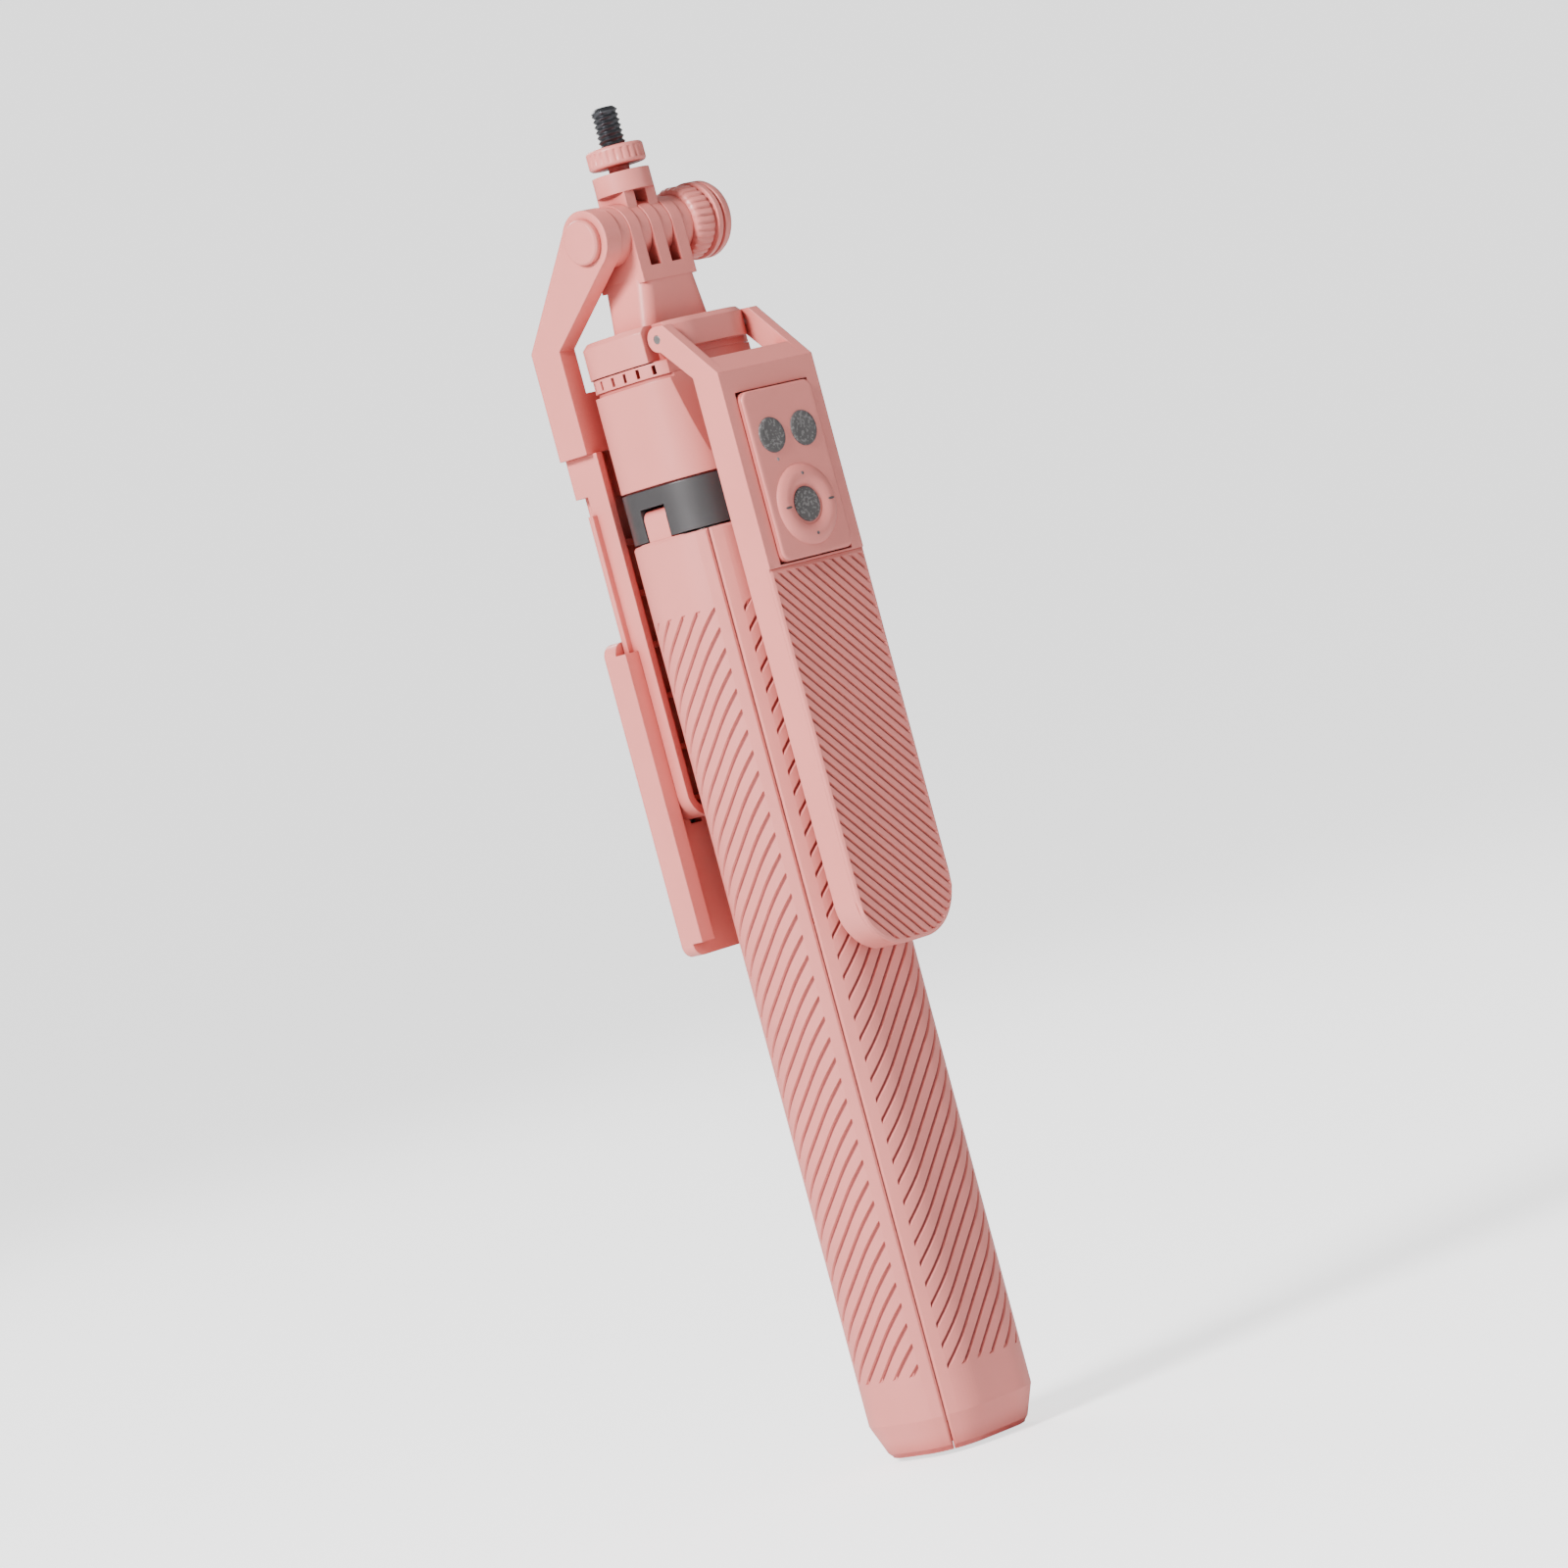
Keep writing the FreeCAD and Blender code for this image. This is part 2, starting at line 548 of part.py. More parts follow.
def grip_cover():
    """Grip skin on the front of the handle."""
    skin = plate_y(ARM_HALF_W, ARM_Z0, 225.0, ARM_Y0, ARM_Y0 + 1.2, 12.5)
    skin = fuse(skin, box(-ARM_HALF_W, ARM_HALF_W, ARM_Y0, ARM_Y0 + 1.2, 190, 205.8))
    return skin.common(box(-30, 30, -40, 0, 100, 205.8))


def back_cover():
    plate = plate_y(ARM_HALF_W - 2.45, ARM_Z0 + 2.45, 203.95, ARM_Y1 - 1.7, ARM_Y1, 9.95)
    for x in (-9, 9):
        for z in (128, 196):
            plate = plate.cut(rod((0, 1, 0), (x, ARM_Y1 - 1, z), 0.9, 6))
            plate = plate.cut(rod((0, 1, 0), (x, ARM_Y1 - 0.4, z), 1.7, 0.8))
    return plate


def cover_screws():
    screws = []
    for x in (-9, 9):
        for z in (128, 196):
            shank = Part.makeCylinder(0.9, 4.8, V(x, ARM_Y1 - 5.0, z), V(0, 1, 0))
            head = Part.makeCylinder(1.65, 0.8, V(x, ARM_Y1 - 0.8, z), V(0, 1, 0))
            slot = box(x - 1.2, x + 1.2, ARM_Y1 - 0.4, ARM_Y1 + 1, z - 0.25, z + 0.25)
            screws.append(fuse(shank, head).cut(slot))
    return Part.makeCompound(screws)


def arm_pin():
    return rod((1, 0, 0), (0, ARM_PIN_Y, ARM_PIN_Z), ARM_PIN_R, 2 * ARM_HALF_W)


# ---------------------------------------------------------------- remote

REMOTE_SPLIT = -26.6


def disc_y(x, z, radius, y0, y1):
    return Part.makeCylinder(radius, y1 - y0, V(x, y0, z), V(0, 1, 0))


def remote_shell(y0, y1, hollow_y0, hollow_y1):
    shell = plate_y(REMOTE_HALF_W, REMOTE_Z0, REMOTE_Z1, y0, y1, 2.0)
    return shell.cut(plate_y(REMOTE_HALF_W - REMOTE_WALL, REMOTE_Z0 + REMOTE_WALL,
                             REMOTE_Z1 - REMOTE_WALL, hollow_y0, hollow_y1, 1.0))


def remote_front():
    body = remote_shell(REMOTE_Y0, REMOTE_SPLIT, REMOTE_Y0 + REMOTE_WALL, REMOTE_SPLIT + 1)
    for x in (-BUTTON_X, BUTTON_X):
        body = body.cut(disc_y(x, BUTTON_Z, BUTTON_R, REMOTE_Y0 - 1, REMOTE_Y0 + 2))
    body = body.cut(disc_y(0, PAD_Z, PAD_R, REMOTE_Y0 - 1, REMOTE_Y0 + 2))
    return body.cut(disc_y(-BUTTON_X, 229.8, 0.5, REMOTE_Y0 - 1, REMOTE_Y0 + 2))


def remote_back():
    return remote_shell(REMOTE_SPLIT, REMOTE_Y1, REMOTE_SPLIT - 1, REMOTE_Y1 - REMOTE_WALL)


def round_button(x):
    cap = disc_y(x, BUTTON_Z, BUTTON_R - RUN, REMOTE_Y0 - 0.45, -28.2)
    flange = disc_y(x, BUTTON_Z, BUTTON_R + 0.6, -28.7, -28.2)
    return fuse(cap, flange)


def ring_pad():
    cap = disc_y(0, PAD_Z, PAD_R - RUN, REMOTE_Y0 - 0.4, -28.2)
    flange = disc_y(0, PAD_Z, PAD_R + 0.4, -28.7, -28.2)
    return fuse(cap, flange).cut(disc_y(0, PAD_Z, SHUTTER_R + RUN, -40, -20))


def shutter_button():
    return disc_y(0, PAD_Z, SHUTTER_R, REMOTE_Y0 - 0.4, -28.2)


def circuit_board():
    half = REMOTE_HALF_W - REMOTE_WALL
    board = plate_y(half, REMOTE_Z0 + REMOTE_WALL, REMOTE_Z1 - REMOTE_WALL, -27.6, -26.8, 1.0)
    chip = box(4, 8, -26.8, -26.0, 236, 240)
    return fuse(board, chip)


def dome_switches():
    spots = [(-BUTTON_X, BUTTON_Z), (BUTTON_X, BUTTON_Z), (0, PAD_Z), (-7.2, PAD_Z), (7.2, PAD_Z)]
    return Part.makeCompound([disc_y(x, z, 2.0, -27.7, -27.6) for x, z in spots])


def coin_cell():
    return disc_y(0, 219.0, CELL_R, -26.7, -26.7 + CELL_T)


def cell_contact():
    strip = box(-3, 3, -25.1, -24.8, 212, 230)
    foot = box(-3, 3, -26.8, -24.8, 230, 230.3)
    return fuse(strip, foot, box(-1.5, 1.5, -24.8, REMOTE_Y1 - REMOTE_WALL, 214, 215))


def led_pipe():
    return disc_y(-BUTTON_X, 229.8, 0.5, REMOTE_Y0, -27.6)


def main():
    os.makedirs("parts", exist_ok=True)
    blank = leg_blank()
    for name in ("left", "right", "front", "back"):
        save("leg_" + name, leg(name, blank))
    save("hub", hub())
    save("leg_hinge_pins", leg_pins())
    save("upper_sleeve", sleeve())
    save("slotted_ring", slotted_ring())
    save("collar", collar())
    save("tube_outer", tube(0))
    for stage in range(1, STAGES + 1):
        save("tube_stage_%d" % stage, tube(stage))
        save("guide_bush_%d" % stage, guide_bush(stage - 1))
        save("slip_ring_%d" % stage, slip_ring(stage))
    save("neck", neck())
    save("pivot_screw", pivot_screw())
    save("washer_left", washer(EYE_X1 + 0.05, -NECK_W1 / 2, WASHER_R))
    save("washer_right", washer(NECK_W1 / 2, KNOB_X0 - 0.05, WASHER_R))
    save("knob", knob())
    save("adapter", adapter())
    save("stud", stud())
    save("thumb_nut", thumb_nut())
    save("clamp_link", clamp_link())
    save("clamp_frame", clamp_frame())
    save("clamp_screws", clamp_screws())
    save("jaw", jaw())
    save("jaw_springs", jaw_springs())
    save("jaw_lip", lip(JAW_LIP_Z, 1))
    save("jaw_lip_pad", lip_pad(JAW_LIP_Z, 1))
    save("jaw_lip_pin", lip_pin(JAW_LIP_Z))
    save("top_lip", lip(TOP_LIP_Z, -1))
    save("top_lip_pad", lip_pad(TOP_LIP_Z, -1))
    save("top_lip_pin", lip_pin(TOP_LIP_Z))
    save("arm_frame", arm_frame())
    save("arm_hinge_pin", arm_pin())
    save("grip_cover", grip_cover())
    save("arm_back_cover", back_cover())
    save("cover_screws", cover_screws())
    save("remote_front", remote_front())
    save("remote_back", remote_back())
    save("button_left", round_button(-BUTTON_X))
    save("button_right", round_button(BUTTON_X))
    save("ring_pad", ring_pad())
    save("shutter_button", shutter_button())
    save("circuit_board", circuit_board())
    save("dome_switches", dome_switches())
    save("coin_cell", coin_cell())
    save("cell_contact", cell_contact())
    save("led_pipe", led_pipe())


main()
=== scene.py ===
import json
import math
import bmesh
import bpy
from mathutils import Matrix, Vector


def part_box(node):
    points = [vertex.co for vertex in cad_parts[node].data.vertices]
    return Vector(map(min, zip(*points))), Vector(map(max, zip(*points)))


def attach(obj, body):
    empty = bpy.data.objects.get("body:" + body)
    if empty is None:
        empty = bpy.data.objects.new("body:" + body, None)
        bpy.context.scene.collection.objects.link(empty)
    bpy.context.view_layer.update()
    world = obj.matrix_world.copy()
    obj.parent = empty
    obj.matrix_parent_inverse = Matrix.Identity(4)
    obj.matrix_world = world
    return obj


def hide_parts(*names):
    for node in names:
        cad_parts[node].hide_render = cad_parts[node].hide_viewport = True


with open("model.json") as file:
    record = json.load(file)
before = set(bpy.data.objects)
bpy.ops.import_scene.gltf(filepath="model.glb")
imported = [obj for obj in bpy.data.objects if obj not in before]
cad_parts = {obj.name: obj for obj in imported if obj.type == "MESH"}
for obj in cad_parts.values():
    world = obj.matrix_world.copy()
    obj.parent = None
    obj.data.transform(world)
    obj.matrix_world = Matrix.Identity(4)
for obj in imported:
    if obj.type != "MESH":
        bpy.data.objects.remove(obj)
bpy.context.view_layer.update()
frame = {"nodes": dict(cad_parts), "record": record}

MM = 0.001

# Column outline and foot bevel in millimetres, as on the CAD legs.
# The ribbed skins end 0.2 below the legs' tops.
COLUMN_W, COLUMN_D, COLUMN_R = 36.6, 32.0, 12.5
LEG_TOP = 219.0
FOOT_BEVEL_Z, FOOT_BEVEL_IN = 8.4, 3.2

# Ribbed skins: slanted ribs between two smooth bands, laid over each leg, and the grip's finer grooves
RIB_PITCH, RIB_HEIGHT, GROOVE_W = 4.86, 0.42, 1.45
RIB_Z0, RIB_Z1 = 18.6, 201.0
SMOOTH_BAND = 3.3
RIB_SLOPE = 1.05
SKIN_LIFT, SKIN_DEPTH = 0.05, 0.3
GRIP_PITCH, GRIP_GROOVE = 3.0, 1.2
GRIP_CORNER, GRIP_MARGIN, GROOVE_DEPTH = 12.5, 0.9, 0.5

# Remote panel's height over its shell and corner radius, then the keys and the camera screw's thread
FACE_RISE = 0.55
FACE_CORNER = 2.4
KEY_RADIUS, KEY_CROWN = 4.15, 0.35
THREAD_PITCH, THREAD_DEPTH = 1.27, 0.62

# Mesh clean-up: points closer than this, in metres, merge, and edges turning more than the angle stay sharp
MERGE_DISTANCE = 0.000002
SHARP_ANGLE = math.radians(38)

# Lamps: name, place and diameter in metres, power in watts, all aimed at one point
LIGHT_TARGET = (0, 0, 0.16)
LAMPS = (
    ("key", (-1.5, -0.15, 1.1), 0.5, 62),
    ("fill", (0.9, -1.5, 0.5), 1.0, 3),
    ("back", (0.6, 1.4, 1.2), 0.8, 12),
)

# Finishes: noise scales, reach of the painted shade in recesses, depth of the fine grain
DRIFT_SCALE, SPECKLE_SCALE, SCUFF_SCALE, GLOSS_SCALE = 28.0, 1500.0, 160.0, 90.0
RECESS_SHADE_REACH = 0.007
GRAIN_DEPTH = 0.00008
BLACK, WHITE = (0, 0, 0), (1, 1, 1)


# ------------------------------------------------------------------ camera, light, stage

def add_camera():
    azimuth, elevation, roll = math.radians(-45), math.radians(1.0), math.radians(15)
    target = Vector((0, 0, 0.1575))
    lens, frame_width = 150.0, 0.3636
    back = Vector((math.sin(azimuth) * math.cos(elevation), -math.cos(azimuth) * math.cos(elevation),
                   math.sin(elevation)))
    right = Vector((0, 0, 1)).cross(back).normalized()
    up = back.cross(right)
    turned_up = up * math.cos(roll) + right * math.sin(roll)
    turned_right = right * math.cos(roll) - up * math.sin(roll)
    camera = bpy.data.objects.new("camera", bpy.data.cameras.new("camera"))
    camera.data.lens = lens
    place = target + back * frame_width * lens / 36.0
    axes = Matrix((turned_right, turned_up, back)).transposed().to_4x4()
    camera.matrix_world = Matrix.Translation(place) @ axes
    bpy.context.collection.objects.link(camera)
    bpy.context.scene.camera = camera


def add_area_light(name, at, size, power):
    light = bpy.data.lights.new(name, "AREA")
    light.shape = "DISK"
    light.size = size
    light.energy = power
    lamp = bpy.data.objects.new(name, light)
    lamp.location = at
    lamp.rotation_euler = (Vector(at) - Vector(LIGHT_TARGET)).to_track_quat("Z", "Y").to_euler()
    bpy.context.collection.objects.link(lamp)


def add_stage():
    """Wide round floor that curves up into a low wall, far from the object on every side."""
    floor_radius, curve, wall_top, below_base, curve_steps = 20.0, 6.0, 9.0, -0.001, 12
    profile = [(0.0, 0.0), (floor_radius, 0.0)]
    for step in range(1, curve_steps + 1):
        angle = math.radians(90 * step / curve_steps)
        profile.append((floor_radius + curve * math.sin(angle), curve - curve * math.cos(angle)))
    profile.append((floor_radius + curve, wall_top))
    floor = lathe("studio_floor", [(r / MM, z / MM) for r, z in profile], "Z", 96, (0, 0, below_base))
    material, nodes, links, shader = new_material("studio_white")
    shader.inputs["Base Color"].default_value = (0.9, 0.9, 0.9, 1)
    shader.inputs["Roughness"].default_value = 0.9
    shader.inputs["Emission Color"].default_value = (1, 1, 1, 1)
    rays = nodes.new("ShaderNodeLightPath")
    glow = nodes.new("ShaderNodeMapRange")
    glow.inputs["To Max"].default_value = 1.6
    links.new(rays.outputs["Is Camera Ray"], glow.inputs["Value"])
    links.new(glow.outputs["Result"], shader.inputs["Emission Strength"])
    floor.data.materials.append(material)


def add_world():
    world = bpy.data.worlds.new("studio")
    world.use_nodes = True
    background = world.node_tree.nodes["Background"]
    background.inputs["Color"].default_value = (1, 1, 1, 1)
    background.inputs["Strength"].default_value = 0.38
    bpy.context.scene.world = world


# ------------------------------------------------------------------ mesh helpers (millimetres)

def new_object(name, points, faces, smooth=False):
    mesh = bpy.data.meshes.new(name)
    mesh.from_pydata([tuple(c * MM for c in p) for p in points], [], faces)
    mesh.update()
    piece = bpy.data.objects.new(name, mesh)
    bpy.context.collection.objects.link(piece)
    for polygon in mesh.polygons:
        polygon.use_smooth = smooth
    return piece


def clean(piece):
    """Merges points that coincide and turns every face outward."""
    work = bmesh.new()
    work.from_mesh(piece.data)
    bmesh.ops.remove_doubles(work, verts=work.verts, dist=MERGE_DISTANCE)
    bmesh.ops.dissolve_degenerate(work, edges=work.edges, dist=MERGE_DISTANCE)
    bmesh.ops.recalc_face_normals(work, faces=work.faces)
    work.to_mesh(piece.data)
    work.free()
    return piece


def slab(name, front, back, cuts):
    """Closed sheet between two equal grids; front faces cut all round take the second material, a dark red
    that paints shade into the grooves.
    """
    rows, cols = len(front), len(front[0])
    points = [p for row in front for p in row] + [p for row in back for p in row]
    half = rows * cols
    faces, shaded_groove_faces = [], []
    for i in range(rows - 1):
        for j in range(cols - 1):
            a, b = i * cols + j, i * cols + j + 1
            c, d = b + cols, a + cols
            corners = cuts[i][j:j + 2] + cuts[i + 1][j:j + 2]
            if min(corners) > 0.5:
                shaded_groove_faces.append(len(faces))
            faces.append((a, b, c, d))
            faces.append((half + d, half + c, half + b, half + a))
    rim = list(range(cols))
    rim += [i * cols + cols - 1 for i in range(1, rows)]
    rim += [(rows - 1) * cols + j for j in range(cols - 2, -1, -1)]
    rim += [i * cols for i in range(rows - 2, 0, -1)]
    for a, b in zip(rim, rim[1:] + rim[:1]):
        faces.append((b, a, half + a, half + b))
    piece = new_object(name, points, faces)
    # Painted shade: the groove faces get the dark second material
    for index in shaded_groove_faces:
        piece.data.polygons[index].material_index = 1
    return clean(piece)


def lathe(name, profile, axis, steps, at=(0, 0, 0), ripple=None):
    """Turned form of (radius, height) points in mm, at a place in m.

    ripple(angle, index, height) is added to the radius."""
    points, faces = [], []
    for index, (radius, height) in enumerate(profile):
        for step in range(steps):
            angle = 2 * math.pi * step / steps
            r = radius + (ripple(angle, index, height) if ripple and radius > 0.01 else 0)
            a, b = r * math.cos(angle), r * math.sin(angle)
            local = {"Z": (a, b, height), "X": (height, a, b), "Y": (b, height, a)}[axis]
            points.append(tuple(c + o / MM for c, o in zip(local, at)))
    for i in range(len(profile) - 1):
        for step in range(steps):
            following = (step + 1) % steps
            faces.append((i * steps + step, i * steps + following,
                          (i + 1) * steps + following, (i + 1) * steps + step))
    piece = clean(new_object(name, points, faces, True))
    piece.data.set_sharp_from_angle(angle=SHARP_ANGLE)
    return piece


def finish_piece(piece, body, slot, materials, *replaced):
    """Joins the piece to its body, hides the nodes it replaces and gives it its materials; slot is not
    used.
    """
    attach(piece, body)
    if replaced:
        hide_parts(*replaced)
    for material in materials if isinstance(materials, tuple) else (materials,):
        piece.data.materials.append(material)


# ------------------------------------------------------------------ materials

def new_material(name):
    material = bpy.data.materials.new(name)
    material.use_nodes = True
    nodes, links = material.node_tree.nodes, material.node_tree.links
    return material, nodes, links, nodes["Principled BSDF"]


def noise(nodes, links, scale, detail=3.0):
    place = nodes.new("ShaderNodeTexCoord")
    texture = nodes.new("ShaderNodeTexNoise")
    texture.inputs["Scale"].default_value = scale
    texture.inputs["Detail"].default_value = detail
    links.new(place.outputs["Object"], texture.inputs["Vector"])
    return texture.outputs["Fac"]


def ramp(nodes, links, source, stops):
    node = nodes.new("ShaderNodeValToRGB")
    while len(node.color_ramp.elements) < len(stops):
        node.color_ramp.elements.new(0.5)
    for element, (place, colour) in zip(node.color_ramp.elements, stops):
        element.position = place
        element.color = (*colour, 1)
    links.new(source, node.inputs["Fac"])
    return node.outputs["Color"]


def shade(colour, factor):
    return tuple(min(1.0, c * factor) for c in colour)


def mix(nodes, links, factor, first, second):
    node = nodes.new("ShaderNodeMix")
    node.data_type = "RGBA"
    links.new(factor, node.inputs["Factor"])
    for socket, value in ((node.inputs["A"], first), (node.inputs["B"], second)):
        if isinstance(value, tuple):
            socket.default_value = (*value, 1)
        else:
            links.new(value, socket)
    return node.outputs["Result"]


def edge_mask(nodes, links, radius):
    """1 along convex and concave edges, 0 on open faces, and the softened normal."""
    bevel = nodes.new("ShaderNodeBevel")
    bevel.samples = 6
    bevel.inputs["Radius"].default_value = radius
    geometry = nodes.new("ShaderNodeNewGeometry")
    dot = nodes.new("ShaderNodeVectorMath")
    dot.operation = "DOT_PRODUCT"
    links.new(bevel.outputs["Normal"], dot.inputs[0])
    links.new(geometry.outputs["Normal"], dot.inputs[1])
    spread = nodes.new("ShaderNodeMapRange")
    spread.inputs["From Min"].default_value = 1.0
    spread.inputs["From Max"].default_value = 0.75
    links.new(dot.outputs["Value"], spread.inputs["Value"])
    return spread.outputs["Result"], bevel.outputs["Normal"]


def surface(name, colour, rough, grain=2200.0, bump=0.25, metallic=0.0, soften=0.0004,
            speckle=None, wear=1.12, coat=0.0, painted_recess_shade=None):
    """Moulded or machined surface: tone drift, fine grain, worn edges, uneven gloss and, where asked,
    painted shade darkening its recesses.
    """
    material, nodes, links, shader = new_material(name)
    drift = ramp(nodes, links, noise(nodes, links, DRIFT_SCALE),
                 [(0.3, shade(colour, 0.955)), (0.7, shade(colour, 1.035))])
    if speckle:
        spots = ramp(nodes, links, noise(nodes, links, SPECKLE_SCALE, 2.0), [(0.53, BLACK), (0.6, WHITE)])
        drift = mix(nodes, links, spots, drift, speckle)
    # Painted shade: ambient occlusion blends the colour toward a deep red in recesses and grooves
    if painted_recess_shade:
        occlusion_shade = nodes.new("ShaderNodeAmbientOcclusion")
        occlusion_shade.samples = 6
        occlusion_shade.inputs["Distance"].default_value = RECESS_SHADE_REACH
        unshaded_share = ramp(nodes, links, occlusion_shade.outputs["AO"], [(0.25, BLACK), (0.8, WHITE)])
        drift = mix(nodes, links, unshaded_share, painted_recess_shade, drift)
    edges, soft_normal = edge_mask(nodes, links, soften)
    scuffs = ramp(nodes, links, noise(nodes, links, SCUFF_SCALE, 5.0),
                  [(0.42, BLACK), (0.68, (0.55, 0.55, 0.55))])
    blend = nodes.new("ShaderNodeMath")
    blend.operation = "MULTIPLY"
    links.new(edges, blend.inputs[0])
    links.new(scuffs, blend.inputs[1])
    links.new(mix(nodes, links, blend.outputs["Value"], drift, shade(colour, wear)),
              shader.inputs["Base Color"])
    gloss = nodes.new("ShaderNodeMapRange")
    gloss.inputs["To Min"].default_value = rough - 0.06
    gloss.inputs["To Max"].default_value = rough + 0.08
    links.new(noise(nodes, links, GLOSS_SCALE, 4.0), gloss.inputs["Value"])
    links.new(gloss.outputs["Result"], shader.inputs["Roughness"])
    relief = nodes.new("ShaderNodeBump")
    relief.inputs["Strength"].default_value = bump
    relief.inputs["Distance"].default_value = GRAIN_DEPTH
    links.new(noise(nodes, links, grain, 2.0), relief.inputs["Height"])
    links.new(soft_normal, relief.inputs["Normal"])
    links.new(relief.outputs["Normal"], shader.inputs["Normal"])
    shader.inputs["Metallic"].default_value = metallic
    shader.inputs["Coat Weight"].default_value = coat
    return material


PINK = (0.78, 0.235, 0.205)
# Deep red painted into the recesses of the pink finishes as shade
PAINTED_RECESS_SHADE = (0.46, 0.075, 0.065)
PINK_PLAIN = surface("pink_moulded", PINK, 0.36, painted_recess_shade=PAINTED_RECESS_SHADE)
PINK_RIB = surface("pink_ribbed", shade(PINK, 0.98), 0.44, soften=0.00025, painted_recess_shade=PAINTED_RECESS_SHADE)
# Painted shade: dark red that the groove faces take for the shade that falls in them
PAINTED_GROOVE_SHADE = surface("pink_groove_painted_shade", (0.24, 0.04, 0.036), 0.55, soften=0.0001)
FINISHES = {
    "pink_shell": PINK_PLAIN,
    "hub_grey": surface("gunmetal_paint", (0.085, 0.08, 0.082), 0.36,
                        grain=3000.0, bump=0.2, metallic=0.5),
    "tube": surface("anodised_tube", (0.72, 0.71, 0.72), 0.28,
                    grain=4000.0, bump=0.1, metallic=1.0, soften=0.0001),
    "steel": surface("zinc_steel", (0.62, 0.61, 0.60), 0.30,
                     grain=3000.0, bump=0.15, metallic=1.0, soften=0.0001),
    "stud_dark": surface("black_steel", (0.07, 0.072, 0.08), 0.32,
                         grain=3000.0, bump=0.15, metallic=0.9, soften=0.0001, wear=2.0),
    "bush": surface("acetal", (0.82, 0.81, 0.78), 0.5, soften=0.0001),
    "pad_rubber": surface("clamp_rubber", (0.42, 0.16, 0.155), 0.8,
                          grain=1600.0, bump=0.5, soften=0.0001),
    "button_grey": surface("speckled_rubber", (0.085, 0.08, 0.08), 0.5,
                           grain=1800.0, bump=0.3, speckle=(0.19, 0.18, 0.18)),
    "board": surface("solder_mask", (0.02, 0.14, 0.05), 0.3, soften=0.0001, coat=0.4),
    "light_pipe": surface("light_pipe", (0.25, 0.22, 0.22), 0.2, soften=0.0001, coat=0.6),
}


def finish_frame():
    """Gives every carried-over node its slot's finish."""
    slots = {part["node"]: part["material_slot"] for part in frame["record"]["subparts"]}
    for name, node in frame["nodes"].items():
        node.data.materials.clear()
        node.data.materials.append(FINISHES[slots[name]])


# ------------------------------------------------------------------ ribbed leg skins

def outline_point(s, grow=0.0):
    """Point at distance s (counter-clockwise from the right face's middle), moved out along the outward
    normal by grow.
    """
    half_x, half_y = COLUMN_W / 2 - COLUMN_R, COLUMN_D / 2 - COLUMN_R
    arc = math.pi / 2 * COLUMN_R
    lengths = [half_y, arc, 2 * half_x, arc, 2 * half_y, arc, 2 * half_x, arc, half_y]
    s %= sum(lengths)
    corners = [(half_x, half_y), (-half_x, half_y), (-half_x, -half_y), (half_x, -half_y)]
    for index, length in enumerate(lengths):
        if s <= length:
            break
        s -= length
    if index % 2:
        cx, cy = corners[index // 2]
        angle = math.pi / 2 * (index // 2) + s / COLUMN_R
    else:
        side = (index // 2) % 4
        angle = math.pi / 2 * side
        cx, cy = corners[side - 1] if index else (half_x, 0)
        cx -= math.sin(angle) * s
        cy += math.cos(angle) * s
    nx, ny = math.cos(angle), math.sin(angle)
    reach = COLUMN_R + grow
    return cx + nx * reach, cy + ny * reach


def groove_rows(low, high, pitch, width, slope, span):
    """(height at the middle, groove depth 0 or 1) of each row of slanted grooves between low and high."""
    rows = []
    reach = abs(slope) * span
    count = int((high - low + 2 * reach) / pitch) + 2
    for index in range(count):
        z = low - reach + index * pitch
        rows += [(z, 0.0), (z + 0.25 * width, 1.0), (z + 0.75 * width, 1.0), (z + width, 0.0)]
    return rows


def leg_skin(name, centre_s, half_length):
    """Ribbed skin on one leg: slanted grooves between two smooth corner bands."""
    hem, shoulder, band_step, steps = 0.1, 0.65, 0.2, 30
    flat = half_length - SMOOTH_BAND
    stations = [-half_length + hem, -half_length + shoulder, -flat - band_step]
    stations += [-flat + 2 * flat * k / steps for k in range(steps + 1)]
    stations += [flat + band_step, half_length - shoulder, half_length - hem]
    rows = groove_rows(RIB_Z0, RIB_Z1, RIB_PITCH, GROOVE_W, RIB_SLOPE, half_length)
    low = [0.3, 1.2, 4.5, FOOT_BEVEL_Z, FOOT_BEVEL_Z + 1.0]
    high = [RIB_Z1 + 1.0, LEG_TOP - 0.6, LEG_TOP]
    front, back, cuts = [], [], []
    plain_low, plain_high = ([(z, 0.0, False) for z in level] for level in (low, high))
    for z, depth, ribbed in plain_low + [(z, depth, True) for z, depth in rows] + plain_high:
        front_row, back_row, cut_row = [], [], []
        for s in stations:
            here, cut = z, 0.0
            if ribbed:
                here = min(max(z + RIB_SLOPE * s, RIB_Z0), RIB_Z1)
                inside = RIB_Z0 < here < RIB_Z1 and abs(s) <= flat + 1e-6
                cut = depth if inside else 0.0
            bevel = FOOT_BEVEL_IN * max(0.0, 1 - here / FOOT_BEVEL_Z)
            rise = SKIN_LIFT + RIB_HEIGHT * (1 - cut)
            if abs(s) > half_length - 0.2 or here < 0.5 or here > LEG_TOP - 0.1:
                rise = 0.0
            front_row.append((*outline_point(centre_s + s, rise - bevel), here))
            back_row.append((*outline_point(centre_s + s, -SKIN_DEPTH - bevel), here))
            cut_row.append(cut)
        front.append(front_row)
        back.append(back_row)
        cuts.append(cut_row)
    return slab(name, front, back, cuts)


